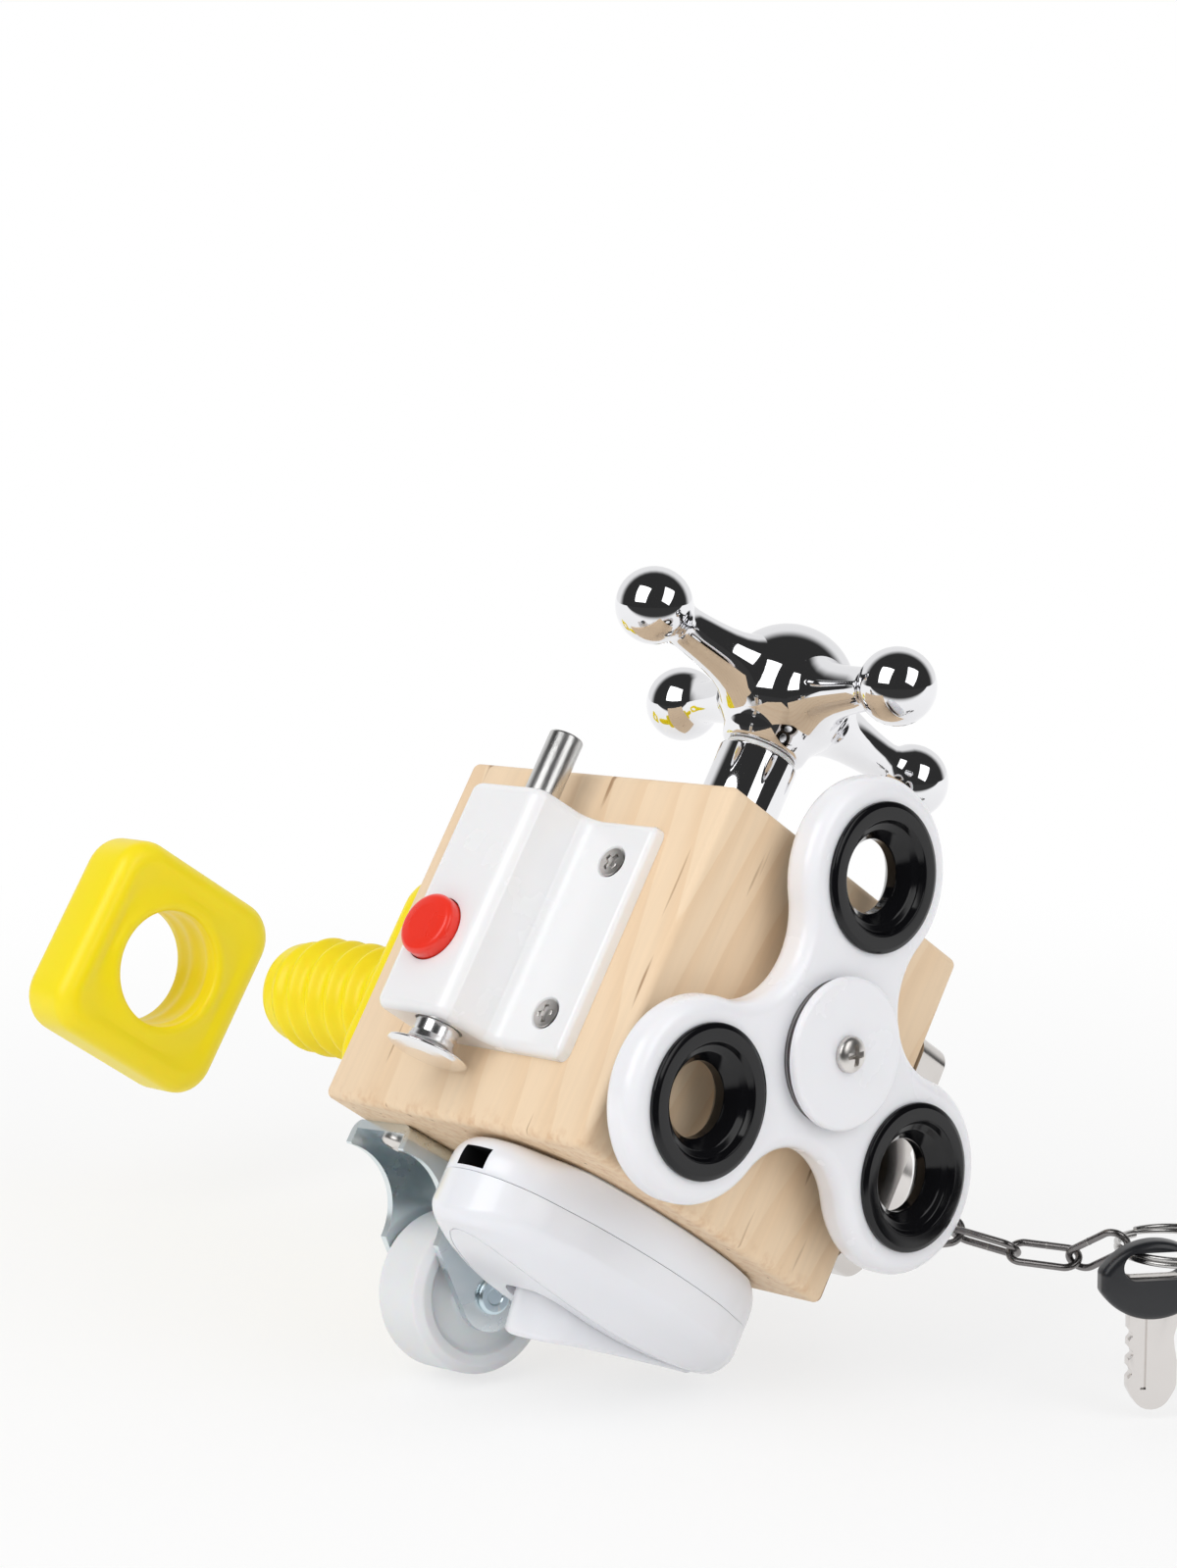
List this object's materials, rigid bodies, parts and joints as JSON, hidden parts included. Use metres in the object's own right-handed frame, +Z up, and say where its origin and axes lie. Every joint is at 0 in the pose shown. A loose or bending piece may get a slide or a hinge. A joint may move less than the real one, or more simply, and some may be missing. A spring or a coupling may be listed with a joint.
{
  "type": "wooden busy board",
  "caption": "Small wooden block busy board with a tap, spinner, spring latch, caster, cord switch, toy bolt and nut, and a lock with chained keys.",
  "frame": {"origin": "centre of the block's underside", "axes": "+Z up through the tap, +X out through the spinner, -Y out through the latch, +Y out through the lock, -Z out through the caster and the switch"},
  "size_m": [0.2089, 0.1267, 0.1326],
  "materials": {
    "pine": "satin",
    "chrome": "polished",
    "steel": "satin",
    "nylon": "satin",
    "white_gloss": "gloss",
    "black_gloss": "gloss",
    "brass": "satin",
    "zinc": "zinc plated",
    "red_gloss": "gloss",
    "yellow_gloss": "gloss",
    "nickel": "nickel plated",
    "dark_wire": "dark satin",
    "black_matt": "satin"
  },
  "bodies": {
    "base": {"block": "pine", "tap_neck": "chrome", "tap_washer": "nylon", "spinner_cap_front": "white_gloss", "spinner_cap_back": "white_gloss", "spinner_screw": "steel", "bearing_inner": "steel", "latch_case": "white_gloss", "latch_screws": "steel", "latch_spring": "steel", "latch_button_spring": "steel", "caster_fork": "zinc", "caster_axle": "steel", "caster_washers": "steel", "caster_screws": "steel", "switch_base": "white_gloss", "switch_cover": "white_gloss", "switch_pivot": "steel", "switch_contacts": "brass", "switch_screws": "steel", "toy_bolt": "yellow_gloss", "toy_bolt_screw": "steel", "lock_case": "nickel", "lock_barrel": "nickel", "lock_screws": "steel", "chain_eye": "dark_wire"},
    "tap": {"tap_handle": "chrome", "tap_spindle": "steel", "tap_clip": "steel", "tap_grub_screw": "steel"},
    "spinner": {"spinner_body": "white_gloss", "spinner_weight_1": "black_gloss", "spinner_weight_2": "black_gloss", "spinner_weight_3": "black_gloss", "bearing_outer": "steel"},
    "cage": {"bearing_cage": "brass", "bearing_balls": "chrome"},
    "latch_pin": {"latch_rod": "zinc", "latch_knob": "chrome"},
    "button": {"latch_button": "red_gloss"},
    "wheel": {"caster_wheel": "nylon"},
    "rocker": {"switch_rocker": "white_gloss"},
    "seesaw": {"switch_seesaw": "brass"},
    "nut": {"toy_nut": "yellow_gloss"},
    "plug": {"lock_plug": "nickel"},
    "bolt": {"lock_bolt": "steel"},
    "link_1": {"chain_link_1": "dark_wire"},
    "link_2": {"chain_link_2": "dark_wire"},
    "link_3": {"chain_link_3": "dark_wire"},
    "link_4": {"chain_link_4": "dark_wire"},
    "ring": {"key_ring": "steel"},
    "key_1": {"key_1_blade": "nickel", "key_1_bow": "black_matt"},
    "key_2": {"key_2_blade": "nickel", "key_2_bow": "black_matt"}
  },
  "joints": [
    {"name": "tap_turn", "type": "hinge", "parent": "base", "child": "tap", "pos_m": [0, 0, 0.0907], "axis": [0, 0, 1], "continuous": true},
    {"name": "spinner_spin", "type": "hinge", "parent": "base", "child": "spinner", "pos_m": [0.037, 0.001, 0.0315], "axis": [1, 0, 0], "continuous": true},
    {"name": "cage_spin", "type": "hinge", "parent": "base", "child": "cage", "pos_m": [0.037, 0.001, 0.0315], "axis": [1, 0, 0], "continuous": true},
    {"name": "latch_slide", "type": "slide", "parent": "base", "child": "latch_pin", "axis": [0, 0, 1], "range_m": [-0.009, 0], "deforming": ["latch_spring"]},
    {"name": "button_press", "type": "slide", "parent": "base", "child": "button", "axis": [0, 1, 0], "range_m": [0, 0.0013], "stiffness_N_per_m": 300, "springref_m": -0.0005, "deforming": ["latch_button_spring"]},
    {"name": "caster_roll", "type": "hinge", "parent": "base", "child": "wheel", "pos_m": [-0.01912, 0.00395, -0.0173], "axis": [0.9877, -0.1564, 0], "continuous": true},
    {"name": "rocker_tilt", "type": "hinge", "parent": "base", "child": "rocker", "pos_m": [0.009, 0.0072, -0.0142], "axis": [-1, 0, 0], "range_deg": [0, 11]},
    {"name": "seesaw_tilt", "type": "hinge", "parent": "base", "child": "seesaw", "pos_m": [0.009, 0.0072, -0.00345], "axis": [-1, 0, 0], "range_deg": [0, 7]},
    {"name": "nut_slide", "type": "slide", "parent": "base", "child": "nut", "axis": [1, 0, 0], "range_m": [0, 0.0765]},
    {"name": "lock_turn", "type": "hinge", "parent": "base", "child": "plug", "pos_m": [0.0095, 0.045, 0.027], "axis": [0, 1, 0], "range_deg": [0, 90]},
    {"name": "bolt_slide", "type": "slide", "parent": "base", "child": "bolt", "axis": [0, 0, 1], "range_m": [0, 0.0063]},
    {"name": "link_1_swing", "type": "hinge", "parent": "base", "child": "link_1", "pos_m": [0.02868, 0.04296, 0.01721], "axis": [0.4189, -0.905, 0.0739], "range_deg": [-15, 15]},
    {"name": "link_2_swing", "type": "hinge", "parent": "link_1", "child": "link_2", "pos_m": [0.03652, 0.04687, 0.02061], "axis": [0.0412, -0.0623, -0.9972], "range_deg": [-15, 15]},
    {"name": "link_3_swing", "type": "hinge", "parent": "link_2", "child": "link_3", "pos_m": [0.04568, 0.05033, 0.02077], "axis": [-0.3925, 0.9168, -0.0735], "range_deg": [-15, 15]},
    {"name": "link_4_swing", "type": "hinge", "parent": "link_3", "child": "link_4", "pos_m": [0.05447, 0.05424, 0.02263], "axis": [-0.3435, 0.3659, 0.8649], "range_deg": [-15, 15]},
    {"name": "ring_swing", "type": "hinge", "parent": "link_4", "child": "ring", "pos_m": [0.06295, 0.05372, 0.02622], "axis": [0.4204, -0.7637, 0.49], "range_deg": [-15, 15]},
    {"name": "key_1_swing", "type": "hinge", "parent": "ring", "child": "key_1", "pos_m": [0.06822, 0.05077, 0.02389], "axis": [0.9987, 0.0146, -0.0485], "range_deg": [-15, 15]},
    {"name": "key_2_swing", "type": "hinge", "parent": "ring", "child": "key_2", "pos_m": [0.0721, 0.06608, 0.03417], "axis": [-0.9202, 0.2954, 0.2566], "range_deg": [-15, 15]}
  ],
  "couplings": [
    {"joint": "cage_spin", "follows": "spinner_spin", "ratio": 0.6313},
    {"joint": "seesaw_tilt", "follows": "rocker_tilt", "ratio": 0.6},
    {"joint": "bolt_slide", "follows": "lock_turn", "m_per_rad": 0.00396}
  ]
}
